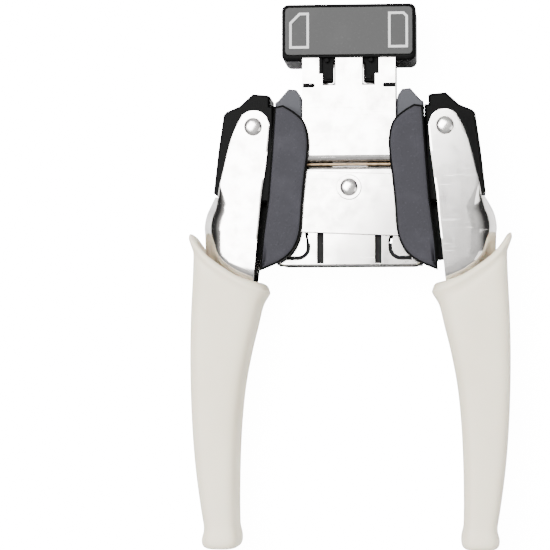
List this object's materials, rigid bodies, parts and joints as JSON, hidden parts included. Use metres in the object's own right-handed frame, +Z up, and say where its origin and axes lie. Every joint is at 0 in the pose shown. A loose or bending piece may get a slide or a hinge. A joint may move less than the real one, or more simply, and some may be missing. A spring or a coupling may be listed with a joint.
{
  "type": "hand-held corner cutter",
  "caption": "Squeeze-handle corner cutter for paper: chrome-plated frame, moulded head with a side opening for a large and a small corner cut, vinyl grips",
  "frame": {"origin": "on the floor under the middle of the tool's bounding box", "axes": "the tool lies on its back: +X to its right handle, +Y towards the cutting head, +Z up out of its front face"},
  "size_m": [0.1116, 0.188, 0.026],
  "materials": {
    "chrome_plate": "bright chrome plating on pressed steel sheet",
    "rivet_steel": "satin steel, domed",
    "tool_steel": "ground steel",
    "dark_steel": "blackened steel",
    "bronze_rod": "bronze, dull",
    "head_black": "moulded black plastic",
    "cap_black": "black with a low gloss",
    "panel_grey": "fine-grained dark grey",
    "wing_slate": "dark slate grey, finely textured, black at the rims",
    "mark_ink": "pale grey mark",
    "vinyl": "soft bone-coloured vinyl, finely grained"
  },
  "bodies": {
    "frame": {"head_housing": "head_black", "head_front_panel": "panel_grey", "chip_cover": "head_black", "large_cut_mark": "mark_ink", "small_cut_mark": "mark_ink", "large_die": "tool_steel", "small_die": "tool_steel", "large_paper_guide": "tool_steel", "small_paper_guide": "tool_steel", "neck_channel": "chrome_plate", "neck_back_plate": "chrome_plate", "neck_foot": "chrome_plate", "neck_cross_rod": "bronze_rod", "yoke_front": "chrome_plate", "yoke_back": "chrome_plate", "rivet_washer": "chrome_plate", "rivet_sleeve": "tool_steel", "centre_rivet": "rivet_steel", "left_head_latch": "head_black", "left_bracket": "wing_slate", "left_outer_cap": "cap_black", "left_wing_front": "wing_slate", "left_wing_back": "wing_slate", "left_pivot_pin": "rivet_steel", "left_return_spring": "tool_steel", "right_head_latch": "head_black", "right_bracket": "wing_slate", "right_outer_cap": "cap_black", "right_wing_front": "wing_slate", "right_wing_back": "wing_slate", "right_pivot_pin": "rivet_steel", "right_return_spring": "tool_steel"},
    "left_handle": {"left_arm": "chrome_plate", "left_grip": "vinyl", "left_push_lever": "dark_steel", "left_lever_bush": "bronze_rod", "left_lever_pin": "tool_steel"},
    "right_handle": {"right_arm": "chrome_plate", "right_grip": "vinyl", "right_push_lever": "dark_steel", "right_lever_bush": "bronze_rod", "right_lever_pin": "tool_steel"},
    "plunger": {"plunger_bar": "tool_steel", "crosshead_body": "dark_steel", "crosshead_front_plate": "chrome_plate", "crosshead_back_plate": "chrome_plate", "punch_block": "dark_steel", "large_blade": "tool_steel", "small_blade": "tool_steel"}
  },
  "joints": [
    {"name": "left_handle_hinge", "type": "hinge", "parent": "frame", "child": "left_handle", "pos_m": [-0.0329, 0.05115, 0.013], "axis": [0, 0, 1], "range_deg": [0, 8.5], "stiffness_Nm_per_rad": 1.5, "springref_deg": -8.59},
    {"name": "right_handle_hinge", "type": "hinge", "parent": "frame", "child": "right_handle", "pos_m": [0.0329, 0.05115, 0.013], "axis": [0, 0, 1], "range_deg": [-8.51, 0]},
    {"name": "plunger_slide", "type": "slide", "parent": "frame", "child": "plunger", "axis": [0, 1, 0], "range_m": [0, 0.0025], "deforming": ["left_return_spring", "right_return_spring"]}
  ],
  "couplings": [
    {"joint": "right_handle_hinge", "follows": "left_handle_hinge", "ratio": -1},
    {"joint": "plunger_slide", "follows": "left_handle_hinge", "m_per_rad": 0.016793}
  ]
}
